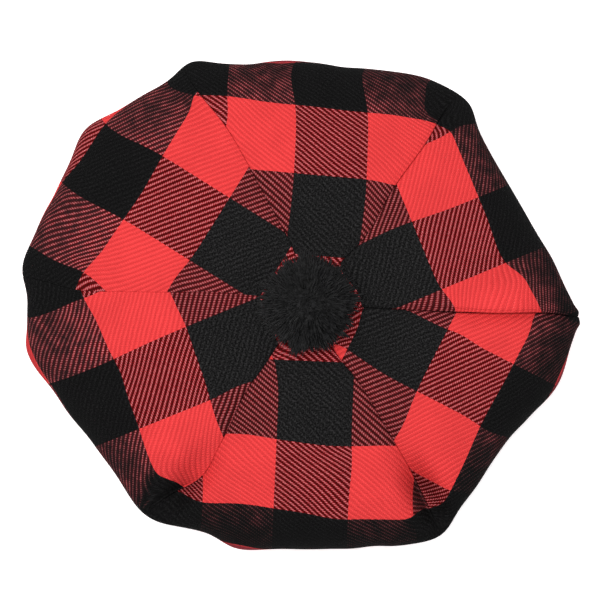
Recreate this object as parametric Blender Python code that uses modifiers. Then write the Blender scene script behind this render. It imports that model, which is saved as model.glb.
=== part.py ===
"""A tam o shanter: a wide flat wool bonnet of six gores, gathered to an oval headband, with a yarn pompom on top.

The hat stands on its headband. Every gore runs from the middle of the crown out to the rim, round it, and back
underneath to the headband. The middle of the crown is above the middle of the head opening, and angles are
measured round it, anticlockwise from +X as seen from above.
"""

from collections import namedtuple

import bmesh
import bpy
import numpy as np

# The middle of the crown, from the middle of the hat's outline, which is wider on its left.
MIDDLE_X = 0.0041
MIDDLE_Y = 0.0005

# Headband: an upright oval ring of folded cloth, 57 cm round inside.
BAND_HALF_LENGTH = 0.0950
BAND_HALF_WIDTH = 0.0885
BAND_HEIGHT = 0.0320
BAND_WALL = 0.0030
BAND_EDGE_RADIUS = 0.0006
BAND_SIDES = 56

# Crown: a flattened dome down to the rim, then an underside that sags a little on its way in to the headband.
CLOTH_WALL = 0.0020
RIM_HEIGHT = 0.0290
CROWN_HEIGHT = 0.0670
UNDERSIDE_DROP = 0.0170
HEM_HEIGHT = 0.0270  # where the gores meet the headband
FULLNESS = 2.2  # the power of the superellipse that the dome and the underside follow: 2 is a plain ellipse
GORE_PUFF = 0.0025
SEAM_DIP_HALF_ANGLE = 5.0
DIP_PEAK = 1.7  # the power that puts a seam's deepest place two thirds of the way from the middle to the rim
SEAM_GAP = 0.0004
SEAT_GAP = 0.0003

# Steps of a gore's surface: middle to rim, rim to headband, and seam to seam.
DOME_STEPS = 13
UNDERSIDE_STEPS = 6
ACROSS_STEPS = 13
SEAM_OVERRUN = 1.5  # degrees that a gore's sheet runs past its seams, before it is trimmed there

# Pompom: a ball, flattened where it sits on the crown.
POMPOM_RADIUS = 0.0245
POMPOM_SEAT_DEPTH = 0.0170  # from the ball's centre down to its flat seat
POMPOM_HEIGHT_SHARE = 0.92
POMPOM_MERIDIANS = 24
POMPOM_PARALLELS = 14

# Each gore starts at its seam and runs anticlockwise to the next one. Its rim is the straight line between the two
# seams, bowed out at the middle. The seam lies lower than the cloth on both sides of it by the dip.
Gore = namedtuple("Gore", "name seam_angle seam_reach seam_dip rim_bow")
GORES = (
    Gore("gore_bottom", seam_angle=-124.0, seam_reach=0.1290, seam_dip=0.0045, rim_bow=0.0152),
    Gore("gore_lower_right", seam_angle=-59.0, seam_reach=0.1354, seam_dip=0.0050, rim_bow=0.0027),
    Gore("gore_upper_right", seam_angle=-3.0, seam_reach=0.1419, seam_dip=0.0035, rim_bow=0.0024),
    Gore("gore_top", seam_angle=54.0, seam_reach=0.1300, seam_dip=0.0030, rim_bow=0.0110),
    Gore("gore_upper_left", seam_angle=115.5, seam_reach=0.1365, seam_dip=0.0020, rim_bow=0.0187),
    Gore("gore_lower_left", seam_angle=175.0, seam_reach=0.1508, seam_dip=0.0025, rim_bow=0.0159),
)

# Soft folds that push the rim outwards, and raise it or let it droop over twice as wide a stretch.
RimFold = namedtuple("RimFold", "angle half_angle push lift")
RIM_FOLDS = (
    RimFold(angle=-169.4, half_angle=7.3, push=0.0074, lift=-0.0035),
    RimFold(angle=-127.1, half_angle=9.6, push=0.0090, lift=0.0025),
    RimFold(angle=-106.2, half_angle=7.4, push=0.0056, lift=-0.0045),
    RimFold(angle=-64.9, half_angle=7.8, push=0.0041, lift=0.0030),
    RimFold(angle=-17.7, half_angle=9.1, push=0.0060, lift=-0.0035),
    RimFold(angle=60.0, half_angle=12.9, push=0.0061, lift=0.0020),
    RimFold(angle=115.7, half_angle=4.6, push=0.0039, lift=0.0030),
    RimFold(angle=141.9, half_angle=5.9, push=0.0056, lift=-0.0040),
)

WOOL_RED = (0.80, 0.045, 0.050, 1.0)
WOOL_BLACK = (0.013, 0.013, 0.013, 1.0)
YARN_BLACK = (0.010, 0.010, 0.010, 1.0)
WOOL_ROUGHNESS = 0.90


def new_collection(name):
    collection = bpy.data.collections.new(name)
    bpy.context.scene.collection.children.link(collection)
    return collection


def new_object(name, mesh, collection, parent=None):
    made = bpy.data.objects.new(name, mesh)
    made.parent = parent
    collection.objects.link(made)
    return made


def matt_wool(name, colour):
    material = bpy.data.materials.new(name)
    material.use_nodes = True
    shader = material.node_tree.nodes["Principled BSDF"]
    shader.inputs["Base Color"].default_value = colour
    shader.inputs["Roughness"].default_value = WOOL_ROUGHNESS
    shader.inputs["Metallic"].default_value = 0.0
    return material


def finish_mesh(made, material):
    made.data.materials.append(material)
    made.data.shade_smooth()


def bell(angle, centre, half_angle):
    """A smooth bump in angle, 1 at its centre and small past twice its half angle, in degrees."""
    away = (angle - centre + 180.0) % 360.0 - 180.0
    return np.exp(-((away / half_angle) ** 2))


def next_gore(gore):
    return GORES[(GORES.index(gore) + 1) % len(GORES)]


def gore_width(gore):
    return (next_gore(gore).seam_angle - gore.seam_angle) % 360.0


def rim_reach(gore, angle):
    """The rim's distance from the crown's middle: the straight line from seam to seam, its bow, and the folds."""
    width = np.radians(gore_width(gore))
    along = np.radians(angle - gore.seam_angle)
    first = gore.seam_reach
    last = next_gore(gore).seam_reach
    straight = first * last * np.sin(width) / (first * np.sin(along) + last * np.sin(width - along))
    share = along / width
    bow = gore.rim_bow * 4.0 * share * (1.0 - share)
    folds = sum(fold.push * bell(angle, fold.angle, fold.half_angle) for fold in RIM_FOLDS)
    return straight + bow + folds


def rim_height(angle):
    """The height of the rim's outermost line: a level, raised and lowered by the folds."""
    return RIM_HEIGHT + sum(fold.lift * bell(angle, fold.angle, 2.0 * fold.half_angle) for fold in RIM_FOLDS)


def band_reach(angle):
    """The headband's outer face: an ellipse in polar form."""
    turn = np.radians(angle)
    along = BAND_HALF_WIDTH * np.cos(turn)
    across = BAND_HALF_LENGTH * np.sin(turn)
    return BAND_HALF_LENGTH * BAND_HALF_WIDTH / np.hypot(along, across)


def crown_relief(gore, angle, travel):
    """How far the dome stands above its plain form: puffed in the middle of a gore, dipped along its two seams.

    It is nothing at the middle of the crown and at the rim, and most two thirds of the way between them.
    """
    share = (angle - gore.seam_angle) / gore_width(gore)
    puff = GORE_PUFF * np.sin(np.pi * np.clip(share, 0.0, 1.0)) ** 2
    dips = sum(
        seam.seam_dip * bell(angle, seam.seam_angle, SEAM_DIP_HALF_ANGLE) for seam in (gore, next_gore(gore))
    )
    outward = np.sin(np.pi * np.clip(travel, 0.0, 1.0) ** DIP_PEAK) ** 2
    return (puff - dips) * outward


def crown_points(gore, angle, travel):
    """Points of the crown's outer surface. Travel is 0 at the crown's middle, 1 at the rim and 2 at the headband."""
    rim = rim_reach(gore, angle)
    level = rim_height(angle)
    seat = band_reach(angle) + SEAT_GAP
    dome_turn = np.clip(travel, 0.0, 1.0) * np.pi / 2.0
    under_turn = np.clip(travel - 1.0, 0.0, 1.0) * np.pi / 2.0
    power = 2.0 / FULLNESS
    inward = 1.0 - np.cos(under_turn).clip(0.0) ** power

    reach = np.where(travel <= 1.0, rim * np.sin(dome_turn) ** power, rim - (rim - seat) * inward)
    height = (
        level
        + (CROWN_HEIGHT - level) * np.cos(dome_turn).clip(0.0) ** power
        - UNDERSIDE_DROP * np.sin(under_turn) ** power
        + (HEM_HEIGHT + UNDERSIDE_DROP - level) * inward**2
        + crown_relief(gore, angle, travel)
    )
    turn = np.radians(angle)
    return np.stack([reach * np.cos(turn), reach * np.sin(turn), height], axis=-1)


def gore_sheet(gore):
    """The gore's outer surface as an open grid, a little wider than the gore, facing outwards."""
    first = gore.seam_angle - SEAM_OVERRUN
    last = gore.seam_angle + gore_width(gore) + SEAM_OVERRUN
    angles = np.linspace(first, last, ACROSS_STEPS + 3)
    travels = np.append(
        np.linspace(0.0, 1.0, DOME_STEPS + 1),
        np.linspace(1.0, 2.0, UNDERSIDE_STEPS + 1)[1:],
    )
    travel, angle = np.meshgrid(travels, angles, indexing="ij")
    points = crown_points(gore, angle, travel).reshape(-1, 3)

    index = np.arange(len(points)).reshape(travel.shape)
    corners = (index[:-1, :-1], index[1:, :-1], index[1:, 1:], index[:-1, 1:])
    faces = np.stack(corners, axis=-1).reshape(-1, 4)
    mesh = bpy.data.meshes.new(gore.name)
    mesh.from_pydata(points.tolist(), [], faces.tolist())

    sheet = bmesh.new()
    sheet.from_mesh(mesh)
    bmesh.ops.remove_doubles(sheet, verts=sheet.verts, dist=1e-6)  # the grid's first row is the crown's middle
    sheet.to_mesh(mesh)
    sheet.free()
    return mesh


def seam_wedge(gore, name):
    """A wedge between a gore's two seam planes, set in from each by half the seam gap."""
    first = np.radians(gore.seam_angle)
    width = np.radians(gore_width(gore))
    middle = first + width / 2.0
    far = 0.25
    tip = SEAM_GAP / 2.0 / np.sin(width / 2.0)
    tip_x = tip * np.cos(middle)
    tip_y = tip * np.sin(middle)
    below = -0.01
    above = CROWN_HEIGHT + 0.02

    wedge = bmesh.new()
    outline = [wedge.verts.new((tip_x, tip_y, below))]
    for turn in (first, first + width):
        corner = (tip_x + far * np.cos(turn), tip_y + far * np.sin(turn), below)
        outline.append(wedge.verts.new(corner))
    floor = wedge.faces.new(outline)
    top = bmesh.ops.extrude_face_region(wedge, geom=[floor])["geom"]
    raised = [corner for corner in top if isinstance(corner, bmesh.types.BMVert)]
    bmesh.ops.translate(wedge, verts=raised, vec=(0.0, 0.0, above - below))
    bmesh.ops.recalc_face_normals(wedge, faces=wedge.faces)
    mesh = bpy.data.meshes.new(name)
    wedge.to_mesh(mesh)
    wedge.free()
    return mesh


def add_gore(gore, hat, cutters, parent):
    """One gore: its sheet thickened inwards, and mitred at both seams by a wedge."""
    wedge = new_object(f"{gore.name}_wedge", seam_wedge(gore, f"{gore.name}_wedge"), cutters, parent)
    wedge.hide_render = True
    wedge.display_type = "WIRE"

    made = new_object(gore.name, gore_sheet(gore), hat, parent)
    wall = made.modifiers.new("cloth wall", "SOLIDIFY")
    wall.thickness = CLOTH_WALL
    wall.offset = -1.0
    wall.use_even_offset = True
    trim = made.modifiers.new("seams", "BOOLEAN")
    trim.operation = "INTERSECT"
    trim.object = wedge
    finish_mesh(made, matt_wool(f"{gore.name}_wool", WOOL_RED))
    return made


def add_headband(hat, parent):
    """The band: an open oval tube, thickened inwards, its cut edges rounded."""
    bpy.ops.mesh.primitive_cylinder_add(
        vertices=BAND_SIDES, radius=1.0, depth=BAND_HEIGHT, end_fill_type="NOTHING"
    )
    made = bpy.context.active_object
    made.name = "headband"
    made.data.name = "headband"
    for collection in made.users_collection:
        collection.objects.unlink(made)
    hat.objects.link(made)
    made.scale = (BAND_HALF_LENGTH, BAND_HALF_WIDTH, 1.0)
    bpy.ops.object.transform_apply(location=False, rotation=False, scale=True)
    made.parent = parent
    made.location = (0.0, 0.0, BAND_HEIGHT / 2.0)

    wall = made.modifiers.new("folded cloth", "SOLIDIFY")
    wall.thickness = BAND_WALL
    wall.offset = -1.0
    wall.use_even_offset = True
    edge = made.modifiers.new("rounded edges", "BEVEL")
    edge.width = BAND_EDGE_RADIUS
    edge.segments = 2
    edge.limit_method = "ANGLE"
    finish_mesh(made, matt_wool("headband_wool", WOOL_BLACK))
    return made


def add_pompom(hat, parent):
    """The pompom's outer form: a ball a little lower than it is wide, flat where it sits."""
    ball = bmesh.new()
    bmesh.ops.create_uvsphere(
        ball, u_segments=POMPOM_MERIDIANS, v_segments=POMPOM_PARALLELS, radius=POMPOM_RADIUS
    )
    for corner in ball.verts:
        corner.co.z = max(corner.co.z * POMPOM_HEIGHT_SHARE, -POMPOM_SEAT_DEPTH)
    mesh = bpy.data.meshes.new("pompom")
    ball.to_mesh(mesh)
    ball.free()

    made = new_object("pompom", mesh, hat, parent)
    made.location = (0.0, 0.0, CROWN_HEIGHT + SEAT_GAP + POMPOM_SEAT_DEPTH)
    finish_mesh(made, matt_wool("pompom_yarn", YARN_BLACK))
    return made


def build():
    for old in list(bpy.data.objects):
        bpy.data.objects.remove(old)
    hat = new_collection("tam_o_shanter")
    cutters = new_collection("cutters")
    middle = new_object("crown_middle", None, hat)
    middle.location = (MIDDLE_X, MIDDLE_Y, 0.0)

    for gore in GORES:
        add_gore(gore, hat, cutters, middle)
    add_headband(hat, middle)
    add_pompom(hat, middle)


build()
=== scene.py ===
from collections import namedtuple

import bpy
import numpy as np
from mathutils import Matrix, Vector


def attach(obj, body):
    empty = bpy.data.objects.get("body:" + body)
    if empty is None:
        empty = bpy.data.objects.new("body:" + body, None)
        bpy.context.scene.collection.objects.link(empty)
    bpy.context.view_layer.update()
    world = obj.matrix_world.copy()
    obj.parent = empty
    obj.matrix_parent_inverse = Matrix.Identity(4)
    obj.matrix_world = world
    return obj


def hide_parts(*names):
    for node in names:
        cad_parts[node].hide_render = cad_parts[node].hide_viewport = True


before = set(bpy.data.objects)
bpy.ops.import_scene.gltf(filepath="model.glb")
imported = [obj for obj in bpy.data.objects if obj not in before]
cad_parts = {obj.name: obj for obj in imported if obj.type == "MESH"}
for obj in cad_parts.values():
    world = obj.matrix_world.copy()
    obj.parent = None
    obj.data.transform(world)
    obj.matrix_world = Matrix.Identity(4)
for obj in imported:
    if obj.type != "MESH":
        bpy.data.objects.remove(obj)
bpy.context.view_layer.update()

# The hat stands on a white table under soft studio light. The camera looks straight down on it from 2 m,
# as the photographer did. The brightest lamp hangs overhead, and three weaker ones stand round the hat.
CAMERA_X = -0.0005
CAMERA_Y = 0.0029
CAMERA_HEIGHT = 2.0
FRAMED_WIDTH = 0.312  # from edge to edge of the picture, at the framed height
FRAMED_HEIGHT = 0.030  # about the rim's
SENSOR_WIDTH = 36.0
LAMPS_AIM = (0.0, 0.0, 0.04)
STUDIO_LIGHT = 0.36  # how strong the even light from all round is
TABLE_SIZE = 12.0
TABLE_WHITE = 0.92
TABLE_GLOW = 0.45  # takes the place of the light that whitens the background in a studio

camera_data = bpy.data.cameras.new("camera")
camera_data.sensor_width = SENSOR_WIDTH
camera_data.lens = SENSOR_WIDTH * (CAMERA_HEIGHT - FRAMED_HEIGHT) / FRAMED_WIDTH
camera_data.clip_start = 0.1
camera_data.clip_end = 50.0
camera = bpy.data.objects.new("camera", camera_data)
camera.location = (CAMERA_X, CAMERA_Y, CAMERA_HEIGHT)
bpy.context.scene.collection.objects.link(camera)
bpy.context.scene.camera = camera
bpy.context.scene.view_settings.view_transform = "Standard"

Lamp = namedtuple("Lamp", "name place size watts")
LAMPS = (
    Lamp("overhead_softbox", place=(-0.20, 0.20, 2.40), size=1.0, watts=58.0),
    Lamp("upper_left_softbox", place=(-1.05, 0.95, 2.00), size=1.6, watts=10.0),
    Lamp("right_softbox", place=(1.70, 0.60, 1.50), size=1.6, watts=5.0),
    Lamp("near_softbox", place=(-0.40, -1.80, 1.60), size=1.6, watts=4.0),
)
for lamp in LAMPS:
    light = bpy.data.lights.new(lamp.name, "AREA")
    light.shape = "DISK"
    light.size = lamp.size
    light.energy = lamp.watts
    holder = bpy.data.objects.new(lamp.name, light)
    holder.location = lamp.place
    away = holder.location - Vector(LAMPS_AIM)
    holder.rotation_euler = away.to_track_quat("Z", "Y").to_euler()
    holder.visible_camera = False
    bpy.context.scene.collection.objects.link(holder)

studio = bpy.data.worlds.new("studio")
studio.use_nodes = True
studio_light = studio.node_tree.nodes["Background"]
studio_light.inputs["Color"].default_value = (1.0, 1.0, 1.0, 1.0)
studio_light.inputs["Strength"].default_value = STUDIO_LIGHT
bpy.context.scene.world = studio

table_mesh = bpy.data.meshes.new("table_top")
half = TABLE_SIZE / 2.0
table_mesh.from_pydata(
    [(-half, -half, 0.0), (half, -half, 0.0), (half, half, 0.0), (-half, half, 0.0)], [], [(0, 1, 2, 3)]
)
table_top = bpy.data.objects.new("table_top", table_mesh)
bpy.context.scene.collection.objects.link(table_top)
table_white = bpy.data.materials.new("table_white")
table_white.use_nodes = True
table_shader = table_white.node_tree.nodes["Principled BSDF"]
table_shader.inputs["Base Color"].default_value = (TABLE_WHITE, TABLE_WHITE, TABLE_WHITE, 1.0)
table_shader.inputs["Roughness"].default_value = 0.9
table_shader.inputs["Specular IOR Level"].default_value = 0.1
table_shader.inputs["Emission Color"].default_value = (1.0, 1.0, 1.0, 1.0)
table_shader.inputs["Emission Strength"].default_value = TABLE_GLOW
table_mesh.materials.append(table_white)

# The six gores of the crown, each one piece of woollen twill in a red and black check. A gore runs from the
# middle of the crown out to the rim, round it and back underneath to the headband. Neighbours are sewn
# together with their edges turned in, so that a seam is a crease between two rolled edges.
MIDDLE = np.array([0.0041, 0.0005, 0.0])
CROWN_HEIGHT = 0.0670
RIM_HEIGHT = 0.0290
UNDERSIDE_DROP = 0.0170
HEM_HEIGHT = 0.0270
FULLNESS = 2.2
GORE_PUFF = 0.0025
SEAM_DIP_HALF_ANGLE = 5.0
DIP_PEAK = 1.7
CORNER_HALF_ANGLE = 3.0
CREASE_HALF_WIDTH = 0.0022
BAND_HALF_LENGTH = 0.0950
BAND_HALF_WIDTH = 0.0885
SEAT_GAP = 0.0003
WAVE_HEIGHT = 0.00028  # slack waves of the dome
GATHER_HEIGHT = 0.0009  # pleats of the underside at the headband

CLOTH_WALL = 0.00095
ROLL = 0.0010  # radius of a seam's rolled edge
SEAM_GAP = -0.00004  # the turnings press together
TURNING = 0.0035  # how far a turned-in edge reaches into the hat
TIP_TRAVEL = 0.0012
DOME_ROWS = 112
UNDERSIDE_ROWS = 50
ACROSS = 118
EDGE_CROWDING = 0.8  # how much closer the columns stand at a gore's edges
EDGE_PASSES = 6
TIP_ROLL = 0.12  # a roll's largest radius, as a share of the distance from the middle
NEAR_RIM = 0.03  # of travel, where a seam points straight out
LEAST_STRAIGHT = 0.6
THIN_EDGE = 0.9  # the wall's thickness at a gore's edge, as a share of the roll's radius
THICKENING = 0.02  # and how fast it grows from there
ROLL_STEPS = 6
TURNING_STEPS = 2

# Seams, anticlockwise. A seam strays sideways from its straight line by the shifts at the bend reaches,
# both in millimetres. It lies lower than the cloth on both sides of it by the dip, and by the crease close
# by. Its rolled edges have radius roll on the crown and rim_roll at the rim, both counted in ROLL, and the
# gap parts them, which the stitches close below. Nap is how much more of the red that crosses the outer
# black row is covered near the seam: painted shade, where the cloth dips into the seam.
Seam = namedtuple("Seam", "angle reach dip crease rim_bow roll rim_roll gap nap shifts")
BEND_REACHES = (0, 26, 33, 42, 54, 64, 75, 95, 105, 112, 120, 130, 140, 165)
BEND_SMOOTHING = 7.0
SEAMS = (
    Seam(
        -124.0, 0.1290, 0.0050, 0.0012, 0.0152, 1.3, 0.15, 0, 0.7,
        (0, -2.4, -1.4, -1.5, -2.6, -0.9, 1.5, 2.8, 2.4, 0.0, -4.8, -8.4, -8.0, -7.0),
    ),
    Seam(
        -59.0, 0.1354, 0.0050, 0.0012, 0.0027, 1.2, 0.15, 0, 0.1,
        (0, -1.2, -1.2, 1.4, 1.9, 1.6, 1.4, 1.2, 0.8, 0.1, -0.7, -1.7, -2.6, -3.0),
    ),
    Seam(
        -3.0, 0.1419, 0.0035, 0.0036, 0.0024, 1.8, 1.1, 0.0010, -0.15,
        (0, 0, 0, 0, 0, 0.1, 0.2, 1.3, 2.1, 2.5, 2.7, 2.2, 0.9, 0),
    ),
    Seam(
        54.0, 0.1300, 0.0030, 0.0009, 0.0110, 1.1, 0.15, 0.00012, 0.3,
        (0, 0, -1.4, -3.5, -3.0, -0.8, 0.2, 0, 0, 1.2, 2.2, 2.2, 2.2, 2.2),
    ),
    Seam(
        115.5, 0.1365, 0.0022, 0.0007, 0.0187, 0.9, 0.15, 0, 0.5,
        (0, -5.4, -6.0, -5.2, -4.2, -3.6, -3.1, -1.8, -0.4, 1.6, 4.0, 5.6, 7.0, 7.0),
    ),
    Seam(
        175.0, 0.1508, 0.0015, 0.0001, 0.0159, 0.4, 0.4, 0, 0.2,
        (0, -2.6, -2.6, -2.6, -2.6, -0.8, 0.2, 1.6, 2.5, 3.1, 3.3, 1.4, -1.0, -3.0),
    ),
)

# The check as it shows from above, from the middle of the crown: outwards along facing, the cloth is red
# to black_in, black to red_from, red to red_to and black again. To the right of that line it is black from
# black_from to black_to, and red and black in turn with squares as wide. Nap is how much of the red that
# crosses the outer black row is covered, by black fibre and by painted shade. The shade is heaviest on the
# gores whose rim turns away from the upper-left light.
Gore = namedtuple("Gore", "name facing black_from black_to black_in red_from red_to nap")
GORES = (
    Gore("gore_bottom", -92.5, -0.0250, 0.0134, 0.0290, 0.0712, 0.1076, 0.92),
    Gore("gore_lower_right", -27.0, -0.0208, 0.0143, 0.0280, 0.0702, 0.1092, 0.70),
    Gore("gore_upper_right", 22.5, -0.0179, 0.0187, 0.0243, 0.0660, 0.1024, 0.68),
    Gore("gore_top", 85.0, -0.0151, 0.0224, 0.0255, 0.0676, 0.1027, 0.58),
    Gore("gore_upper_left", 148.0, -0.0133, 0.0249, 0.0237, 0.0645, 0.1053, 0.36),
    Gore("gore_lower_left", 202.0, -0.0268, 0.0130, 0.0222, 0.0645, 0.1050, 0.42),
)
SQUARE = 0.038  # a square of the check, flat
SHARP_EDGE = np.radians(50.0)
RIM_TURN = 0.006  # to both sides of red_to, where the cloth turns down over the rim
SHIFT_START = 0.004  # keeps a seam's shift from swinging it round close to the middle
# How far the painted shade beside a seam reaches.
SEAM_SHADE_HALF_WIDTH = 0.009

# Where a gore was eased or stretched in the sewing, its check lies off: by across to the right and outward
# away from the middle, most at the place right and out.
Ease = namedtuple("Ease", "right out half_right half_out across outward", defaults=(0.0, 0.0))
EASES = {
    "gore_bottom": (
        Ease(-0.062, 0.096, 0.014, 0.024, across=0.0050),
        Ease(0.036, 0.108, 0.026, 0.013, outward=-0.0026),
        Ease(0.068, 0.102, 0.012, 0.016, outward=-0.0088),
        Ease(-0.021, 0.108, 0.015, 0.013, outward=0.0031),
        Ease(-0.056, 0.108, 0.015, 0.013, outward=0.0018),
        Ease(0.015, 0.031, 0.010, 0.010, across=0.0020),
        Ease(0.017, 0.024, 0.008, 0.005, across=0.0050),
        Ease(0.032, 0.140, 0.015, 0.021, outward=-0.0122),
        Ease(-0.066, 0.108, 0.007, 0.013, outward=-0.0070),
        Ease(0.055, 0.108, 0.010, 0.026, across=-0.0022),
        Ease(-0.017, 0.0712, 0.020, 0.010, outward=0.0018),
        Ease(0.034, 0.0712, 0.018, 0.010, outward=-0.0026),
        Ease(-0.040, 0.1076, 0.010, 0.010, outward=0.0011),
        Ease(-0.025, 0.083, 0.010, 0.012, across=-0.0009),
    ),
    "gore_lower_right": (
        Ease(-0.0115, 0.026, 0.008, 0.008, outward=-0.0022),
        Ease(0.012, 0.025, 0.007, 0.008, across=-0.0025),
        Ease(0.070, 0.104, 0.007, 0.012, outward=-0.0085),
        Ease(-0.048, 0.108, 0.007, 0.010, outward=-0.0022),
        Ease(-0.028, 0.145, 0.020, 0.023, outward=-0.0092),
        Ease(0.034, 0.0702, 0.014, 0.010, outward=0.0018),
        Ease(0.011, 0.1092, 0.022, 0.012, outward=-0.0017),
        Ease(-0.0208, 0.0775, 0.010, 0.008, across=-0.0012),
        Ease(0.0143, 0.036, 0.010, 0.012, across=-0.0016),
        Ease(0.0143, 0.113, 0.010, 0.010, across=0.0016),
        Ease(0.052, 0.093, 0.010, 0.014, across=0.0027),
        Ease(0.051, 0.108, 0.008, 0.008, across=0.0020),
    ),
    "gore_upper_right": (
        Ease(0.030, 0.142, 0.040, 0.018, outward=0.0050),
        Ease(0.048, 0.106, 0.015, 0.016, outward=0.0100),
        Ease(0.0300, 0.104, 0.0080, 0.016, outward=0.0042),
        Ease(-0.0625, 0.100, 0.005, 0.010, outward=-0.0060),
        Ease(0.004, 0.0245, 0.007, 0.008, outward=0.0015),
        Ease(-0.009, 0.0245, 0.007, 0.008, outward=-0.0022),
        Ease(0.030, 0.066, 0.009, 0.010, outward=0.0040),
        Ease(0.012, 0.1024, 0.012, 0.012, outward=-0.0012),
        Ease(-0.0179, 0.056, 0.010, 0.022, across=-0.0019),
        Ease(-0.0545, 0.108, 0.008, 0.008, across=-0.0018),
    ),
    "gore_top": (
        Ease(0.054, 0.120, 0.021, 0.018, across=-0.0100),
        Ease(0.0, 0.117, 0.031, 0.016, across=-0.0028),
        Ease(0.059, 0.0985, 0.008, 0.006, across=0.0040),
        Ease(0.052, 0.102, 0.016, 0.011, outward=-0.0021),
        Ease(-0.052, 0.102, 0.016, 0.011, outward=0.0013),
        Ease(-0.026, 0.137, 0.012, 0.018, outward=-0.0085),
        Ease(-0.0526, 0.094, 0.008, 0.009, across=0.0014),
        Ease(0.060, 0.1027, 0.006, 0.008, outward=-0.0025),
        Ease(-0.0151, 0.124, 0.010, 0.014, across=-0.0036),
        Ease(0.0224, 0.128, 0.011, 0.014, across=-0.0045),
        Ease(0.040, 0.0676, 0.009, 0.010, outward=-0.0017),
        Ease(0.016, 0.1027, 0.020, 0.010, outward=-0.0010),
        Ease(-0.0151, 0.060, 0.012, 0.030, across=0.0014),
        Ease(0.0224, 0.058, 0.012, 0.026, across=0.0016),
        Ease(0.058, 0.107, 0.010, 0.006, across=-0.0060),
    ),
    "gore_upper_left": (
        Ease(0.061, 0.122, 0.016, 0.016, across=-0.0062),
        Ease(-0.049, 0.107, 0.011, 0.013, across=0.0031, outward=0.0026),
        Ease(-0.039, 0.145, 0.023, 0.016, outward=0.0060),
        Ease(-0.017, 0.143, 0.009, 0.012, outward=0.0045),
        Ease(0.011, 0.143, 0.016, 0.011, outward=-0.0026),
        Ease(-0.028, 0.0645, 0.012, 0.010, outward=0.0020),
        Ease(0.003, 0.1053, 0.018, 0.012, outward=-0.0012),
        Ease(-0.0133, 0.133, 0.012, 0.020, across=-0.0021),
        Ease(0.0249, 0.134, 0.012, 0.016, across=-0.0025),
        Ease(0.061, 0.1053, 0.006, 0.010, outward=0.0028),
    ),
    "gore_lower_left": (
        Ease(0.021, 0.147, 0.042, 0.017, outward=0.0034),
        Ease(-0.042, 0.0665, 0.022, 0.010, outward=0.0028),
        Ease(0.049, 0.138, 0.018, 0.022, across=-0.0056),
        Ease(0.048, 0.106, 0.018, 0.021, across=-0.0078),
        Ease(0.046, 0.146, 0.010, 0.012, outward=0.0035),
        Ease(-0.064, 0.104, 0.0075, 0.014, outward=-0.0142),
        Ease(0.013, 0.0645, 0.010, 0.010, outward=-0.0009),
        Ease(-0.045, 0.105, 0.018, 0.012, outward=0.0018),
        Ease(0.004, 0.105, 0.010, 0.012, outward=-0.0014),
        Ease(0.048, 0.105, 0.010, 0.010, outward=0.0020),
        Ease(-0.0268, 0.050, 0.010, 0.010, across=0.0014),
        Ease(0.0130, 0.120, 0.012, 0.032, across=-0.0018),
        Ease(0.048, 0.111, 0.010, 0.012, across=0.0021),
    ),
}

# Spots of painted shade beside the seams, where the cloth dips, by the same coordinates. Each adds its nap
# to the gore's, and where the sum is largest both yarns are darkened.
FoldShade = namedtuple("FoldShade", "gore right out half_right half_out nap")
FOLD_SHADES = (
    FoldShade("gore_lower_left", -0.0603, 0.1047, 0.0075, 0.0078, nap=1.7),
    FoldShade("gore_bottom", -0.0625, 0.094, 0.0060, 0.0150, nap=2.2),
    FoldShade("gore_lower_right", 0.046, 0.115, 0.0200, 0.0180, nap=0.4),
    FoldShade("gore_lower_right", -0.052, 0.128, 0.0160, 0.0090, nap=0.2),
    FoldShade("gore_lower_left", -0.038, 0.120, 0.0160, 0.0180, nap=0.2),
    FoldShade("gore_upper_left", 0.044, 0.118, 0.0180, 0.0180, nap=0.2),
    FoldShade("gore_top", 0.041, 0.112, 0.0140, 0.0100, nap=0.15),
    FoldShade("gore_upper_right", 0.054, 0.132, 0.0100, 0.0100, nap=0.35),
)

# Where the rim is pushed out or in. With a lift it is raised too, or lowered, over twice the angle.
RimFold = namedtuple("RimFold", "angle half_angle push lift", defaults=(0.0,))
RIM_FOLDS = (
    RimFold(-169.4, 7.3, 0.0074, -0.0035),
    RimFold(-127.1, 9.6, 0.0090, 0.0025),
    RimFold(-106.2, 7.4, 0.0056, -0.0045),
    RimFold(-64.9, 7.8, 0.0041, 0.0030),
    RimFold(-17.7, 9.1, 0.0060, -0.0035),
    RimFold(60.0, 12.9, 0.0061, 0.0020),
    RimFold(115.7, 4.6, 0.0039, 0.0030),
    RimFold(141.9, 5.9, 0.0056, -0.0040),
    RimFold(-157.0, 5.0, 0.0012),
    RimFold(-95.0, 9.0, 0.0008),
    RimFold(-48.0, 5.0, 0.0009),
    RimFold(-20.0, 9.0, 0.0012),
    RimFold(50.5, 3.2, 0.0019),
    RimFold(104.0, 3.5, -0.0009),
    RimFold(176.5, 3.0, -0.0013),
    RimFold(-117.0, 4.0, 0.0007),
    RimFold(-79.5, 4.0, 0.0008),
    RimFold(-60.0, 4.5, 0.0010),
    RimFold(-1.4, 0.9, 0.0011),
    RimFold(-3.9, 1.1, 0.0012),
    RimFold(10.5, 5.0, 0.0010),
    RimFold(82.0, 4.0, -0.0008),
    RimFold(123.5, 5.0, -0.0008),
    RimFold(157.0, 3.5, -0.0008),
    RimFold(171.0, 4.0, 0.0013),
    RimFold(-171.5, 2.5, 0.0006),
    RimFold(-149.0, 4.0, -0.0005),
    RimFold(-108.0, 4.0, 0.0006),
    RimFold(-71.0, 3.0, 0.0006),
    RimFold(-29.0, 3.0, 0.0006),
    RimFold(58.0, 4.0, -0.0005),
    RimFold(95.0, 4.0, 0.0005),
    RimFold(179.0, 2.5, -0.0006),
)

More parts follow.
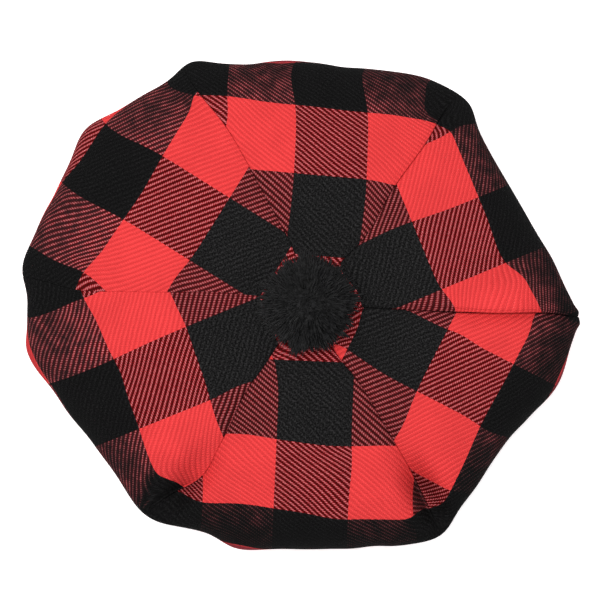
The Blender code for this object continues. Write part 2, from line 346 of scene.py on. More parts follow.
# Where the cloth sinks into a seam or swells beside one, by angle and by reach from the crown's middle.
Swell = namedtuple("Swell", "angle reach half_across half_out rise")
SWELLS = (
    Swell(-58.5, 0.1145, 0.0070, 0.016, -0.0175),
    Swell(-124.5, 0.113, 0.0070, 0.018, -0.0125),
    Swell(-133.5, 0.103, 0.0110, 0.014, 0.0030),
    Swell(-68.0, 0.104, 0.0100, 0.016, 0.0020),
    Swell(1.5, 0.104, 0.0060, 0.026, 0.0014),
    Swell(-6.5, 0.104, 0.0050, 0.026, -0.0012),
)

# Edges that lap over their neighbour's, or lie under it: lift is up, lean is towards the neighbour.
LAP_REACH = 0.104
Lap = namedtuple("Lap", "gore side half_out half_across lift lean")
LAPS = (
    Lap("gore_upper_right", "first", 0.028, 0.0050, 0.0020, 0.0020),
    Lap("gore_lower_right", "last", 0.028, 0.0042, -0.0040, 0.0),
    Lap("gore_lower_left", "last", 0.014, 0.0070, 0.0015, 0.0024),
    Lap("gore_bottom", "first", 0.014, 0.0070, -0.0020, 0.0),
)


def bell(value, centre, half_width):
    """A smooth bump: e to the minus square of the distance from the centre, counted in half widths."""
    return np.exp(-(((value - centre) / half_width) ** 2))


def around(angle, centre, half_angle):
    """A bell in degrees that closes on itself after a full turn."""
    return bell((angle - centre + 180.0) % 360.0 - 180.0, 0.0, half_angle)


def ease(value, start, end):
    """A smooth step from 0 at start to 1 at end: 3 s squared less 2 s cubed."""
    share = np.clip((value - start) / (end - start), 0.0, 1.0)
    return share * share * (3.0 - 2.0 * share)


def unit(vectors):
    """Vectors divided by their own lengths."""
    return vectors / np.linalg.norm(vectors, axis=-1, keepdims=True)


def heading(angle):
    """The level unit vector that points along an angle in degrees."""
    turn = np.radians(angle)
    return np.stack([np.cos(turn), np.sin(turn), np.zeros_like(turn)], axis=-1)


def seam_to_seam(angle):
    """The rim's distance from the middle, straight from seam to seam plus a parabola, and the puff there."""
    starts = np.array([seam.angle for seam in SEAMS])
    widths = np.diff(np.append(starts, starts[0] + 360.0))
    along = (angle - starts[0]) % 360.0
    which = np.searchsorted(starts - starts[0], along, side="right") - 1
    reaches = np.array([seam.reach for seam in SEAMS])
    first = reaches[which]
    last = np.roll(reaches, -1)[which]
    width = np.radians(widths[which])
    turn = np.radians(along - (starts - starts[0])[which])
    share = turn / width
    straight = first * last * np.sin(width) / (first * np.sin(turn) + last * np.sin(width - turn))
    bow = np.array([seam.rim_bow for seam in SEAMS])[which] * 4.0 * share * (1.0 - share)
    return straight + bow, GORE_PUFF * np.sin(np.pi * share) ** 2


def rim_reach(angle):
    """The rim's distance, corners rounded by a weighted mean over 10 degrees, pushed in or out by folds."""
    offsets = np.arange(-5.0, 5.5, 1.25)
    weights = bell(offsets, 0.0, CORNER_HALF_ANGLE)
    weights = weights / weights.sum()
    rounded = sum(weight * seam_to_seam(angle + offset)[0] for weight, offset in zip(weights, offsets))
    return rounded + sum(fold.push * around(angle, fold.angle, fold.half_angle) for fold in RIM_FOLDS)


def seam_shift(seam, reach):
    """A seam's way off its straight line: its shifts joined by lines and smoothed with a bell."""
    fine = np.arange(-20.0, 190.0)
    kernel = bell(np.arange(-14.0, 15.0), 0.0, BEND_SMOOTHING)
    smooth = np.convolve(np.interp(fine, BEND_REACHES, seam.shifts), kernel / kernel.sum(), mode="same")
    return np.interp(reach * 1000.0, fine, smooth) / 1000.0


def seam_angle(seam, travel, reach):
    """A seam's own angle at each reach. Underneath, it goes back to its straight line at the headband."""
    turned = np.degrees(seam_shift(seam, reach) / (reach + SHIFT_START))
    return seam.angle + turned * (1.0 - ease(travel, 1.0, 2.0))


def crown(travel, angle):
    """Points of the crown's outer face from its middle. Travel is 0 there, 1 at the rim, 2 at the band.

    The dome is a superellipse from the middle down to the rim, and the underside another one that drops
    below the rim and comes up to the band. The dome is puffed between the seams and dipped along them, and
    swells here and there. The underside is gathered to the band in small waves that die out on the way to
    the rim.
    """
    rim = rim_reach(angle)
    puff = seam_to_seam(angle)[1]
    lifts = sum(fold.lift * around(angle, fold.angle, 2.0 * fold.half_angle) for fold in RIM_FOLDS)
    level = RIM_HEIGHT + lifts
    turn = np.radians(angle)
    oval = np.hypot(BAND_HALF_WIDTH * np.cos(turn), BAND_HALF_LENGTH * np.sin(turn))
    seat = BAND_HALF_LENGTH * BAND_HALF_WIDTH / oval + SEAT_GAP

    power = 2.0 / FULLNESS
    over = np.clip(travel, 0.0, 1.0) * np.pi / 2.0
    under = np.clip(travel - 1.0, 0.0, 1.0) * np.pi / 2.0
    inward = 1.0 - np.cos(under).clip(0.0) ** power
    reach = np.where(travel <= 1.0, rim * np.sin(over) ** power, rim - (rim - seat) * inward)
    dips = 0.0
    creases = 0.0
    for seam in SEAMS:
        off = (angle - seam_angle(seam, travel, reach) + 180.0) % 360.0 - 180.0
        dips = dips + seam.dip * bell(off, 0.0, SEAM_DIP_HALF_ANGLE)
        creases = creases + seam.crease * bell(reach * np.radians(off), 0.0, CREASE_HALF_WIDTH)
    height = (
        level
        - creases * ease(travel, 0.1, 0.3) * (1.0 - ease(travel, 0.9, 1.0))
        + (CROWN_HEIGHT - level) * np.cos(over).clip(0.0) ** power
        - UNDERSIDE_DROP * np.sin(under) ** power
        + (HEM_HEIGHT + UNDERSIDE_DROP - level) * inward**2
        + (puff - dips) * np.sin(np.pi * np.clip(travel, 0.0, 1.0) ** DIP_PEAK) ** 2
    )
    for swell in SWELLS:
        off = np.radians((angle - swell.angle + 180.0) % 360.0 - 180.0)
        across = reach * np.sin(off)
        near = bell(across, 0.0, swell.half_across) * bell(reach * np.cos(off), swell.reach, swell.half_out)
        height = height + swell.rise * near * (1.0 - ease(travel, 0.85, 1.0))
    wave = np.sin(turn * 5.0 + 0.7) + np.sin(turn * 8.0 + 2.1) + np.sin(turn * 13.0 + 4.4)
    height = height + WAVE_HEIGHT * wave * ease(travel, 0.25, 0.6) * (1.0 - ease(travel, 0.9, 1.0))
    broad = np.sin(turn * 41.0 + 1.5 * np.sin(turn * 5.0))
    narrow = np.sin(turn * 67.0 + 2.0 * np.sin(turn * 7.0 + 1.0))
    height = height + GATHER_HEIGHT * (broad + 0.6 * narrow) * ease(travel, 1.25, 1.85)
    return heading(angle) * reach[..., None] + np.stack([0.0 * height, 0.0 * height, height], axis=-1)


def seam_edge(seam, side, travel):
    """Where a gore's face ends and its rolled edge begins: a roll's radius and half the gap off the seam.

    Each pass lays the edge along the bent seam again. Returns the angles, the roll's radii, the gaps and the
    level unit vectors square to the seam, for each travel.
    """
    roll = ROLL * (seam.roll + (seam.rim_roll - seam.roll) * ease(travel, 0.64, 0.82))
    gap = SEAM_GAP + seam.gap * ease(travel, 0.2, 0.4) * (1.0 - ease(travel, 0.7, 0.9))
    angle = seam.angle + 0.0 * travel
    straightness = 1.0
    for _ in range(EDGE_PASSES):
        reach = np.linalg.norm(crown(travel, angle)[:, :2], axis=-1)
        middle = seam_angle(seam, travel, reach)
        roll = np.minimum(roll, TIP_ROLL * reach)
        angle = middle + side * np.degrees(np.arcsin((roll + gap / 2.0) / (reach * straightness)))
        line = np.gradient(heading(middle) * reach[:, None], axis=0)
        line = np.where(travel[:, None] <= 1.0, line, -line)
        at_rim = np.abs(travel - 1.0) < NEAR_RIM
        line[at_rim] = heading(middle[at_rim])
        straightness = np.clip((unit(line) * heading(middle)).sum(axis=-1), LEAST_STRAIGHT, 1.0)
    square = unit(np.cross(np.array([0.0, 0.0, 1.0]), unit(line)))
    return angle, roll, gap, square


def turned_edge(edge, roll, gap, toward, square):
    """The rolled edge and the turning: a quarter circle into the seam, then straight in to the stitches.

    Returns the columns from the face outwards, and how much cloth lies between each of them and the face.
    """
    forward = unit(np.gradient(edge, axis=0))
    outward = unit(np.cross(forward, square))
    columns = []
    lengths = []
    for step in range(1, ROLL_STEPS + 1):
        turn = np.pi / 2.0 * step / ROLL_STEPS
        across = toward * (roll * np.sin(turn))[:, None]
        columns.append(edge + across - outward * (roll * (1.0 - np.cos(turn)))[:, None])
        lengths.append(roll * turn)
    for step in range(1, TURNING_STEPS + 1):
        depth = roll * TURNING / ROLL * step / TURNING_STEPS
        across = roll + gap / 2.0 * step / TURNING_STEPS
        columns.append(edge + toward * across[:, None] - outward * (roll + depth)[:, None])
        lengths.append(roll * np.pi / 2.0 + depth)
    return np.stack(columns, axis=1), np.stack(lengths, axis=1)


def seen_from_camera(points):
    """Where points stand in the picture, as places in the level plane that the picture is framed at."""
    scale = (CAMERA_HEIGHT - FRAMED_HEIGHT) / (CAMERA_HEIGHT - points[..., 2])
    lens_axis = np.array([CAMERA_X, CAMERA_Y])
    return lens_axis + (points[..., :2] - lens_axis) * scale[..., None]


def gore_grid(gore, first_seam, last_seam):
    """A gore's outer face as a grid of points, the cloth's coordinates there, the wall, and the nap with its
    painted shade.

    Rows are of equal travel, and columns run from one seam to the next, crowded towards the edges by a sine.
    """
    travel = np.append(
        np.linspace(TIP_TRAVEL, 1.0, DOME_ROWS),
        np.linspace(1.0, 2.0, UNDERSIDE_ROWS + 1)[1:],
    )
    first_angle, first_roll, first_gap, first_square = seam_edge(first_seam, 1.0, travel)
    last_angle, last_roll, last_gap, last_square = seam_edge(last_seam, -1.0, travel)
    width = (last_angle - first_angle) % 360.0
    share = np.linspace(0.0, 1.0, ACROSS)
    share = share - EDGE_CROWDING * np.sin(2.0 * np.pi * share) / (2.0 * np.pi)
    angle = first_angle[:, None] + width[:, None] * share
    face = crown(travel[:, None] + 0.0 * angle, angle)

    # The cloth's coordinates: across the gore, and outwards as seen from above until the cloth turns down.
    seen = seen_from_camera(face + MIDDLE) - seen_from_camera(np.array([0.0, 0.0, CROWN_HEIGHT]) + MIDDLE)
    outward = heading(gore.facing)[:2]
    right = heading(gore.facing - 90.0)[:2]
    cloth_u = seen @ right
    plan_v = seen @ outward
    turning_down = ease(plan_v, gore.red_to - RIM_TURN, gore.red_to + RIM_TURN)
    turning_down = np.where(travel[:, None] < 1.0, turning_down, 1.0)
    steps = np.hypot(np.diff(plan_v, axis=0), np.diff(face[..., 2], axis=0) * turning_down[1:])
    cloth_v = plan_v[:1] + np.append(np.zeros((1, plan_v.shape[1])), np.cumsum(steps, axis=0), axis=0)

    sides = []
    for side, edge_column, roll, gap, square, sign in (
        ("first", 0, first_roll, first_gap, first_square, -1.0),
        ("last", -1, last_roll, last_gap, last_square, 1.0),
    ):
        toward = square * sign
        columns, lengths = turned_edge(face[:, edge_column], roll, gap, toward, square)
        for lap in LAPS:
            if lap.gore == gore.name and lap.side == side:
                reach = np.linalg.norm(face[:, edge_column, :2], axis=-1)
                along = bell(reach, LAP_REACH, lap.half_out) * (1.0 - ease(travel, 0.9, 1.0))
                from_edge = np.linalg.norm((face - face[:, edge_column, None])[..., :2], axis=-1)
                lapped = (along[:, None] * bell(from_edge, 0.0, lap.half_across))[..., None]
                face = face + lapped * (lap.lean * toward[:, None] + np.array([0.0, 0.0, lap.lift]))
                depth = np.clip(lengths / (TURNING + ROLL * np.pi / 2.0), 0.0, 1.0)
                fade = (along[:, None] * (1.0 - ease(depth, 0.0, 1.0)))[..., None]
                columns = columns + fade * lap.lean * toward[:, None]
                columns = columns + along[:, None, None] * np.array([0.0, 0.0, lap.lift])
        side_u = cloth_u[:, edge_column, None] + lengths * (toward[:, :2] @ right)[:, None]
        side_v = cloth_v[:, edge_column, None] + lengths * (toward[:, :2] @ outward)[:, None]
        sides.append((columns, side_u, side_v))
    first, last = sides
    points = np.concatenate([first[0][:, ::-1], face, last[0]], axis=1)
    cloth_u = np.concatenate([first[1][:, ::-1], cloth_u, last[1]], axis=1)
    cloth_v = np.concatenate([first[2][:, ::-1], cloth_v, last[2]], axis=1)
    share_across = np.concatenate([np.zeros(first[1].shape[1]), share, np.ones(last[1].shape[1])])
    from_first = THIN_EDGE * first_roll[:, None] + THICKENING * share_across
    from_last = THIN_EDGE * last_roll[:, None] + THICKENING * (1.0 - share_across)
    wall = np.minimum(CLOTH_WALL, np.minimum(from_first, from_last))
    right_of = cloth_u
    out_from = cloth_v

    def near(spot):
        return bell(right_of, spot.right, spot.half_right) * bell(out_from, spot.out, spot.half_out)

    for spot in EASES[gore.name]:
        cloth_u = cloth_u - spot.across * near(spot)
        cloth_v = cloth_v - spot.outward * near(spot)
    inner = (cloth_v - gore.red_from) / (gore.red_from - gore.black_in)
    outer = (cloth_v - gore.red_from) / (gore.red_to - gore.red_from)
    cloth = np.stack(
        [
            (cloth_u - gore.black_from) / (gore.black_to - gore.black_from) * SQUARE,
            np.where(cloth_v < gore.red_from, inner, outer) * SQUARE,
        ],
        axis=-1,
    )
    # The nap and its painted shade: the gore's own, more beside each seam, and more in the spots of painted
    # fold shade.
    gore_width = np.linalg.norm(face[:, 0] - face[:, -1], axis=-1)[:, None]
    nap = gore.nap
    nap = nap + first_seam.nap * bell(share_across * gore_width, 0.0, SEAM_SHADE_HALF_WIDTH)
    nap = nap + last_seam.nap * bell((1.0 - share_across) * gore_width, 0.0, SEAM_SHADE_HALF_WIDTH)
    for fold_shade in FOLD_SHADES:
        if fold_shade.gore == gore.name:
            nap = nap + fold_shade.nap * near(fold_shade)
    return points + MIDDLE, cloth, wall, nap


def corners(grid):
    """What stands at the four corners of each of a grid's faces, anticlockwise."""
    return np.stack([grid[:-1, :-1], grid[1:, :-1], grid[1:, 1:], grid[:-1, 1:]], axis=2)


def strip(one, two):
    """The faces between two lines of numbers."""
    return np.stack([one[:-1], two[:-1], two[1:], one[1:]], axis=-1)


def wall_faces(front, back, closed):
    """Faces over the front and the back of a wall, with strips between their edges."""
    lining = corners(back)[:, :, [0, 3, 2, 1]]
    borders = [strip(back[0], front[0]), strip(front[-1], back[-1])]
    if not closed:
        borders += [strip(front[:, 0], back[:, 0]), strip(back[:, -1], front[:, -1])]
    return np.concatenate([corners(front).reshape(-1, 4), lining.reshape(-1, 4), *borders])


def cloth_object(name, points, cloth, wall, nap, closed=0.0):
    """A wall of cloth: the face's grid, that grid moved in along its normals, and strips round the edges.

    A closed grid's last column runs on into its first, and closed is the cloth's length once round it.
    Returns the object and the cloth's flat area.
    """
    count = points.size // 3
    index = np.arange(count).reshape(points.shape[:2])
    if closed:
        ahead = np.roll(points, -1, axis=1) - np.roll(points, 1, axis=1)
        index = np.append(index, index[:, :1], axis=1)
        cloth = np.append(cloth, cloth[:, :1] + closed * np.array([1.0, 0.0]), axis=1)
    else:
        ahead = np.gradient(points, axis=1)
    normals = unit(np.cross(np.gradient(points, axis=0), ahead))
    inner = points - normals * wall[..., None]
    both = np.concatenate([points.reshape(-1, 3), inner.reshape(-1, 3)])
    place = np.arange(cloth.size // 2).reshape(cloth.shape[:2])
    spread = cloth.reshape(-1, 2)[wall_faces(place, place, closed).ravel()]

    mesh = bpy.data.meshes.new(name)
    mesh.from_pydata(both, [], wall_faces(index, index + count, closed))
    mesh.uv_layers.new(name="cloth").data.foreach_set("uv", spread.ravel())
    # The nap and its painted shade, kept per point for the check's material.
    nap_and_shade_layer = mesh.attributes.new("nap", "FLOAT", "POINT")
    nap_and_shade_layer.data.foreach_set("value", np.tile(np.broadcast_to(nap, points.shape[:2]).ravel(), 2))
    mesh.shade_smooth()
    mesh.set_sharp_from_angle(angle=SHARP_EDGE)
    made = bpy.data.objects.new(name, mesh)
    bpy.context.scene.collection.objects.link(made)
    at_corners = corners(cloth)
    along = at_corners[:, :, 1] - at_corners[:, :, 0]
    beside = at_corners[:, :, 3] - at_corners[:, :, 0]
    area = np.abs(along[..., 0] * beside[..., 1] - along[..., 1] * beside[..., 0]).sum()
    return made, float(area)


class Nodes:
    """Short names for wiring a material's nodes: all but fill add one, and return it or its output."""

    def __init__(self, name):
        self.material = bpy.data.materials.new(name)
        self.material.use_nodes = True
        self.tree = self.material.node_tree
        self.shader = self.tree.nodes["Principled BSDF"]

    def new(self, kind):
        return self.tree.nodes.new("ShaderNode" + kind)

    def fill(self, node, inputs):
        """Links or sets a node's inputs, and returns its outputs."""
        for socket, value in inputs.items():
            if isinstance(value, bpy.types.NodeSocket):
                self.tree.links.new(value, node.inputs[socket])
            else:
                node.inputs[socket].default_value = value
        return node.outputs

    def math(self, operation, *values):
        node = self.new("Math")
        node.operation = operation
        return self.fill(node, dict(enumerate(values)))[0]

    def times(self, one, two):
        return self.math("MULTIPLY", one, two)

    def times_plus(self, value, factor, rest):
        return self.math("MULTIPLY_ADD", value, factor, rest)

    def centred(self, value):
        return self.math("SUBTRACT", value, 0.5)

    def remainder(self, value, whole):
        return self.math("FLOORED_MODULO", value, whole)

    def ramp(self, value, low, high, to_low=0.0, to_high=1.0):
        node = self.new("MapRange")
        node.interpolation_type = "SMOOTHSTEP"
        return self.fill(node, dict(enumerate((value, low, high, to_low, to_high))))[0]

    def blend(self, share, one, two):
        node = self.new("Mix")
        node.data_type = "RGBA"
        return self.fill(node, {0: share, 6: one, 7: two})[2]

    def noise(self, vector, scale, detail=2.0, colour=False):
        outputs = self.fill(self.new("TexNoise"), {"Vector": vector, "Scale": scale, "Detail": detail})
        return outputs[1 if colour else 0]

    def split(self, vector):
        return self.fill(self.new("SeparateXYZ"), {0: vector})[:3]

    def place(self):
        return self.new("TexCoord").outputs["Object"]


WARP_PITCH = 0.00096  # from yarn to yarn across the gore
WEFT_PITCH = 0.00070
# Plain red: YARN_RED on the twill's ridges, DEEP_RED as painted shade in its grooves.
YARN_RED = (0.705, 0.051, 0.052, 1.0)
DEEP_RED = (0.555, 0.026, 0.028, 1.0)
# Red that crosses black: pale pink as a painted highlight on the float tops, deep red as painted shade
# between them.
MIXED_RED = (0.560, 0.160, 0.168, 1.0)
MIXED_DEEP_RED = (0.300, 0.012, 0.017, 1.0)
YARN_BLACK = (0.0042, 0.0041, 0.0042, 1.0)
FUZZ_BLACK = (0.0255, 0.0248, 0.0252, 1.0)
MIXED_BLACK = (0.064, 0.0010, 0.0010, 1.0)
GRAZING_SHADE_RED = (0.165, 0.024, 0.034, 1.0)  # painted shade and painted sheen on the red row just under the rim, where the cloth turns down and its black fuzz is seen edge-on
# The dark red of crossing red under black nap and painted shade.
SHADED_RED_FUZZ = (0.034, 0.0105, 0.0120, 1.0)

FRAY = 0.00060  # how far a yarn's sides stray
FRAY_SCALE = 1500.0
FIBRE_SCALE = 2600.0
FUZZ_SCALE = 1250.0
WANDER_SCALE = 230.0
PATCH_SCALE = 190.0
MOTTLE_SCALE = 60.0
INNER_NAP = 0.45  # how much of the red that crosses the inner black row is covered
RELIEF = 0.00025  # how high the yarns stand


def ridge(wool, yarn, crossing, side):
    """A float's height: half a sine wave across the yarn times half a wave over the two that it crosses.

    Side is 1 for the warp and -1 for the weft, whose floats take the other half of the wave.
    """
    across = wool.math("SINE", wool.times(wool.math("FRACT", yarn), np.pi))
    along = wool.math("SINE", wool.times(wool.remainder(crossing, 4.0), np.pi / 2.0))
    return wool.times(across, wool.math("MAXIMUM", wool.times(along, side), 0.0))


def twill(name, checked):
    """A 2 and 2 twill, drawn yarn by yarn from the cloth's own coordinates.

    Yarns are numbered across and along the cloth, and the warp yarn shows where the sum of the two
    numbers, counted in fours, is 0 or 1. Each float over two yarns is a small round ridge with frayed sides.

    Where red crosses black, loose red fibre lies over the black yarns, and the red yarns carry a painted
    highlight on their tops and painted shade between them. A soft stripe, a sine wave along the twill, is
    laid over the sharp yarns. Black nap and painted shade cover the red warp in patches on the outer black
    row, more towards the rim and on the gores that face away from the light, and black nap covers it evenly
    on the inner one. In the folds beside two seams, painted shade covers both yarns. Just under the rim, the
    next red row of the gores with the most nap and shade is dulled by painted shade and sheen.
    """
    wool = Nodes(name)
    spread = wool.new("UVMap")
    spread.uv_map = "cloth"
    cloth = spread.outputs[0]
    place = wool.place()
    fray = wool.split(wool.noise(cloth, FRAY_SCALE, colour=True))
    u, v, _ = wool.split(cloth)
    u = wool.times_plus(wool.centred(fray[0]), FRAY, u)
    v = wool.times_plus(wool.centred(fray[1]), FRAY, v)
    warp = wool.math("DIVIDE", u, WARP_PITCH)
    weft = wool.math("DIVIDE", v, WEFT_PITCH)
    warp_number = wool.math("FLOOR", warp)
    weft_number = wool.math("FLOOR", weft)
    step = wool.remainder(wool.math("ADD", warp_number, weft_number), 4.0)
    warp_shows = wool.math("LESS_THAN", step, 1.5)
    warp_height = ridge(wool, warp, wool.math("ADD", warp_number, weft), 1.0)
    weft_height = ridge(wool, weft, wool.math("ADD", warp, weft_number), -1.0)
    height = wool.math("MAXIMUM", warp_height, weft_height)

    fibre = wool.noise(cloth, FIBRE_SCALE, 3.0)
    fuzz = wool.noise(cloth, FUZZ_SCALE, 3.0)
    wander = wool.centred(wool.noise(cloth, WANDER_SCALE))
    twill_line = wool.math("ADD", warp, weft)
    wale = wool.times_plus(wander, 5.0, wool.times(twill_line, np.pi / 2.0))
    wale = wool.times_plus(wool.math("SINE", wale), 0.5, 0.5)
    mottle = wool.noise(place, MOTTLE_SCALE, 3.0)
    outer_row = wool.math("GREATER_THAN", v, SQUARE)
    nap = wool.times(wool.ramp(fuzz, 0.36, 0.66), wool.times_plus(wale, 0.60, 0.45))
    # Farther out than one square, the pale fuzz fades to under a third: painted shade of the outer black
    # row, where the cloth turns down.
    nap = wool.times(nap, wool.ramp(v, 0.92 * SQUARE, 1.08 * SQUARE, 1.0, 0.30))
    black = wool.blend(nap, YARN_BLACK, FUZZ_BLACK)
    face = black
    if checked:
        # Reads the nap and its painted shade from the cloth.
        nap_and_shade_layer = wool.new("Attribute")
        nap_and_shade_layer.attribute_name = "nap"
        nap_and_shade_here = nap_and_shade_layer.outputs["Fac"]
        warp_place = wool.remainder(wool.times(warp_number, WARP_PITCH), 2.0 * SQUARE)
        weft_place = wool.remainder(wool.times(weft_number, WEFT_PITCH), 2.0 * SQUARE)
        red_warp = wool.math("GREATER_THAN", warp_place, SQUARE)
        red_weft = wool.math("LESS_THAN", weft_place, SQUARE)
        warp_red = wool.times(warp_shows, red_warp)
        weft_red = wool.times(wool.math("SUBTRACT", 1.0, warp_shows), red_weft)
        red_shows = wool.math("ADD", warp_red, weft_red)
        mixed = wool.math("ABSOLUTE", wool.math("SUBTRACT", red_warp, red_weft))
        crossing_warp = wool.times(mixed, red_warp)

        patches = wool.centred(wool.noise(place, PATCH_SCALE, 3.0))
        # The cover grows towards the rim: painted shade where the outer black row turns down.
        cover = wool.math("ADD", nap_and_shade_here, wool.ramp(v, SQUARE, 1.7 * SQUARE, -0.10, 0.14))
        cover = wool.times_plus(patches, 0.8, cover)
        cover = wool.times_plus(wool.centred(fibre), 0.9, cover)
        stripe = wool.times_plus(twill_line, np.pi / 2.0, -np.pi / 4.0)
        stripe = wool.times_plus(wool.math("SINE", stripe), 0.5, 0.5)
        stripe = wool.math("ABSOLUTE", wool.math("SUBTRACT", red_weft, stripe))
        soft = wool.times_plus(stripe, 0.6, wool.times(height, 0.4))
        bared = wool.math("SUBTRACT", soft, cover)
        least = wool.ramp(cover, 0.1, 0.8, 0.15, 0.84)
        outer_nap_and_shade = wool.ramp(bared, -0.40, 0.40, 1.0, least)
        outer_nap_and_shade = wool.times(outer_nap_and_shade, wool.times(outer_row, crossing_warp))
        # Painted shade in the folds beside two seams, where the nap and shade are thickest. It darkens both
        # yarns.
        painted_fold_shade = wool.times(wool.ramp(nap_and_shade_here, 1.3, 2.8, 0.0, 0.72), mixed)
        inner_nap = wool.times(wool.times(wool.math("LESS_THAN", v, 0.0), crossing_warp), INNER_NAP)
        # How far the red crossing black is covered, by nap and by painted shade.
        shade_and_nap = wool.math("MAXIMUM", wool.math("MAXIMUM", outer_nap_and_shade, painted_fold_shade), inner_nap)

        # The crossing red goes from painted shade low between the floats to a painted highlight on their
        # tops, with fuzz mixed in.
        crossed = wool.times_plus(wool.centred(fuzz), 1.2, height)
        mixed_red = wool.blend(wool.ramp(crossed, 0.20, 0.85), MIXED_DEEP_RED, MIXED_RED)
        # Plain red is painted darker along the twill's grooves, as shade, and varies with the fuzz.
        plain = wool.times_plus(wale, 0.45, wool.times_plus(fuzz, 0.35, 0.30))
        red = wool.blend(mixed, wool.blend(plain, DEEP_RED, YARN_RED), mixed_red)
        loose_red = wool.times(mixed, wool.ramp(fibre, 0.30, 0.60, 1.0, 0.75))
        under = wool.blend(loose_red, black, MIXED_BLACK)
        check = wool.blend(red_shows, under, red)
        merged = wool.times(mixed, wool.times_plus(outer_row, 0.40, 0.20))
        striped = wool.blend(wool.ramp(stripe, 0.25, 0.75), under, mixed_red)
        check = wool.blend(merged, check, striped)
        # Painted shade and sheen over the next red row just under the rim, most on the gores with the most
        # nap and shade.
        grazing_shade = wool.times(wool.ramp(v, 1.98 * SQUARE, 2.08 * SQUARE), red_shows)
        grazing_shade = wool.times(grazing_shade, wool.ramp(v, 2.15 * SQUARE, 2.45 * SQUARE, 1.0, 0.0))
        grazing_shade = wool.times(grazing_shade, wool.ramp(nap_and_shade_here, 0.36, 0.52, 0.0, 0.90))
        check = wool.blend(grazing_shade, check, GRAZING_SHADE_RED)
        # Under nap and painted shade, the crossing red goes dark red, and black where the cover is thickest.
        face = wool.blend(shade_and_nap, check, wool.blend(wool.ramp(cover, 0.3, 1.0), SHADED_RED_FUZZ, black))
    # Painted shade in the hollows between the yarns, and a painted highlight on the warp floats.
    hollow_shade = wool.times_plus(height, 0.10, 0.92)
    twilled = wool.times(hollow_shade, wool.times_plus(warp_shows, 0.14, 0.90))
    mottled = wool.times(twilled, wool.ramp(mottle, 0.3, 0.7, 0.95, 1.04))
    scaled = wool.new("VectorMath")
    scaled.operation = "SCALE"
    colour = wool.fill(scaled, {0: face, "Scale": mottled})[0]
    raised = wool.times_plus(fibre, 0.6, height)
    relief = wool.fill(wool.new("Bump"), {"Distance": RELIEF, "Height": raised})[0]
    look = {"Base Color": colour, "Normal": relief, "Roughness": 0.95, "Specular IOR Level": 0.02}
    wool.fill(wool.shader, look)
    return wool.material


check_wool = twill("check_wool", checked=True)
for gore, first_seam, last_seam in zip(GORES, SEAMS, SEAMS[1:] + SEAMS[:1]):
    points, cloth, wall, nap = gore_grid(gore, first_seam, last_seam)
    made, flat_area = cloth_object(f"{gore.name}_cloth", points, cloth, wall, nap)
    made.data.materials.append(check_wool)
    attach(made, "root")
    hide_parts(gore.name)

# The headband: a strip of the same twill in plain black, folded along its middle, with the crown's lower
# edge sewn to it and its two ends joined at one side. The fold is the edge that the hat stands on.
BAND_HEIGHT = 0.0320
BAND_THICKNESS = 0.0030
BAND_COLUMNS = 360
BAND_FACE_ROWS = 16
BAND_FOLD_ROWS = 9
JOIN_ANGLE = np.radians(-59.0)  # in line with a seam of the crown
JOIN_DEPTH = 0.0010
JOIN_HALF_WIDTH = 0.0009
JOIN_CROWDING = 0.7  # how much closer the columns stand there
LAYER = 0.0012  # the wall of each of the two layers


def band_grid():
    """The band's face: up and down the two layers and round the fold, along the head opening's oval."""
    radius = BAND_THICKNESS / 2.0
    down = np.linspace(BAND_HEIGHT, radius, BAND_FACE_ROWS)
    turn = np.linspace(0.0, np.pi, BAND_FOLD_ROWS)[1:-1]
    inset = np.concatenate([0.0 * down, radius - radius * np.cos(turn), 0.0 * down + 2.0 * radius])
    height = np.concatenate([down, radius - radius * np.sin(turn), down[::-1]])
    place = np.linspace(0.0, 2.0 * np.pi, BAND_COLUMNS, endpoint=False)
    angle = place - JOIN_CROWDING * np.sin(place - JOIN_ANGLE)
    from_join = np.angle(np.exp(1j * (angle - JOIN_ANGLE))) * BAND_HALF_WIDTH
    inset = inset[:, None] + JOIN_DEPTH * bell(from_join, 0.0, JOIN_HALF_WIDTH)
    along = np.stack([np.cos(angle), np.sin(angle)], axis=-1)
    oval = along * np.array([BAND_HALF_LENGTH, BAND_HALF_WIDTH])
    out = unit(along * np.array([BAND_HALF_WIDTH, BAND_HALF_LENGTH]))
    plan = oval[None] - out[None] * inset[..., None]
    height = np.broadcast_to(height[:, None, None], plan.shape[:2] + (1,))
    points = np.concatenate([plan, height], axis=-1)
    round_it = np.append(0.0, np.cumsum(np.linalg.norm(np.diff(oval, axis=0), axis=-1)))
    up_it = np.append(0.0, np.cumsum(np.hypot(np.diff(inset[:, 0]), np.diff(height[:, 0, 0]))))
    cloth = np.stack(np.broadcast_arrays(round_it[None, :], up_it[:, None]), axis=-1)
    return points + MIDDLE, cloth, np.full(points.shape[:2], LAYER)


points, cloth, wall = band_grid()
band_round = float(cloth[0, -1, 0] + cloth[0, 1, 0])
headband, _ = cloth_object("headband_cloth", points, cloth, wall, nap=1.0, closed=band_round)
headband.data.materials.append(twill("black_wool", checked=False))
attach(headband, "root")
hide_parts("headband")

